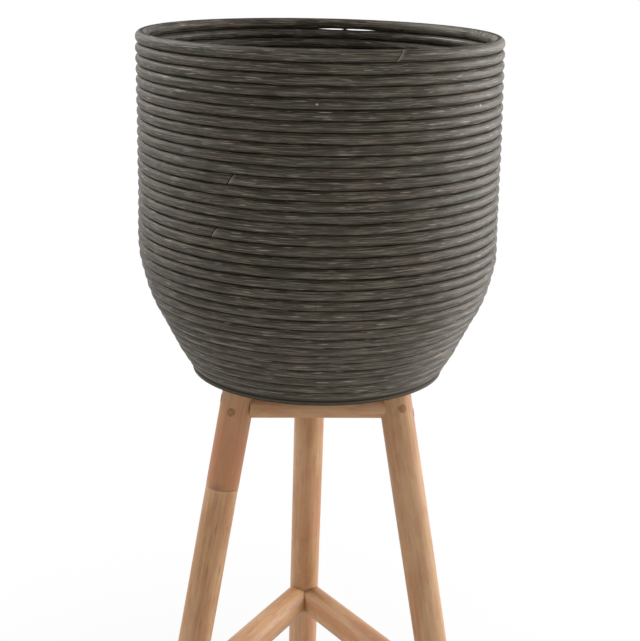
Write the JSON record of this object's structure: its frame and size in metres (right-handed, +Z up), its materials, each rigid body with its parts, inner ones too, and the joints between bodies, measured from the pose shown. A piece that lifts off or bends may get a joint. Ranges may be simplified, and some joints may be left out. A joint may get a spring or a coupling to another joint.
{
  "type": "standing rattan planter",
  "caption": "Round planter basket of stacked cane hoops with a drawn-in foot, on a splayed three-legged pole stand, with a lift-out liner inside.",
  "frame": {"origin": "on the floor, under the basket's own axis; the bounding box centre lies 10 mm behind it, because the rear foot reaches further out than the basket", "axes": "+Z up; +Y towards the rear leg; +X to the right as seen from the front, where two legs stand"},
  "size_m": [0.3838, 0.4013, 0.8601],
  "materials": {
    "cane": "grey-washed cane, dull, with fine lengthwise streaks",
    "pole": "natural pole, lightly sanded, dull",
    "peg": "end grain, cut nearly flush",
    "board": "dark stained plywood",
    "steel": "bright wire and plated screws",
    "liner": "moulded, matt black"
  },
  "bodies": {
    "planter": {"hoop_01": "cane", "hoop_02": "cane", "hoop_03": "cane", "hoop_04": "cane", "hoop_05": "cane", "hoop_06": "cane", "hoop_07": "cane", "hoop_08": "cane", "hoop_09": "cane", "hoop_10": "cane", "hoop_11": "cane", "hoop_12": "cane", "hoop_13": "cane", "hoop_14": "cane", "hoop_15": "cane", "hoop_16": "cane", "hoop_17": "cane", "hoop_18": "cane", "hoop_19": "cane", "hoop_20": "cane", "hoop_21": "cane", "hoop_22": "cane", "hoop_23": "cane", "hoop_24": "cane", "hoop_25": "cane", "hoop_26": "cane", "hoop_27": "cane", "hoop_28": "cane", "hoop_29": "cane", "hoop_30": "cane", "hoop_31": "cane", "hoop_32": "cane", "hoop_33": "cane", "hoop_34": "cane", "leg_rear": "pole", "leg_left": "pole", "leg_right": "pole", "rail_left": "pole", "rail_front": "pole", "rail_right": "pole", "stretcher_left": "pole", "stretcher_front": "pole", "stretcher_right": "pole", "hoop_brads": "steel", "board_brads": "steel", "board_screws": "steel", "rail_pegs": "peg", "stretcher_pegs": "peg", "base_board": "board"},
    "liner": {"liner": "liner"}
  },
  "joints": [
    {"name": "liner_lift", "type": "slide", "parent": "planter", "child": "liner", "axis": [0, 0, 1], "range_m": [0, 0.36]}
  ]
}
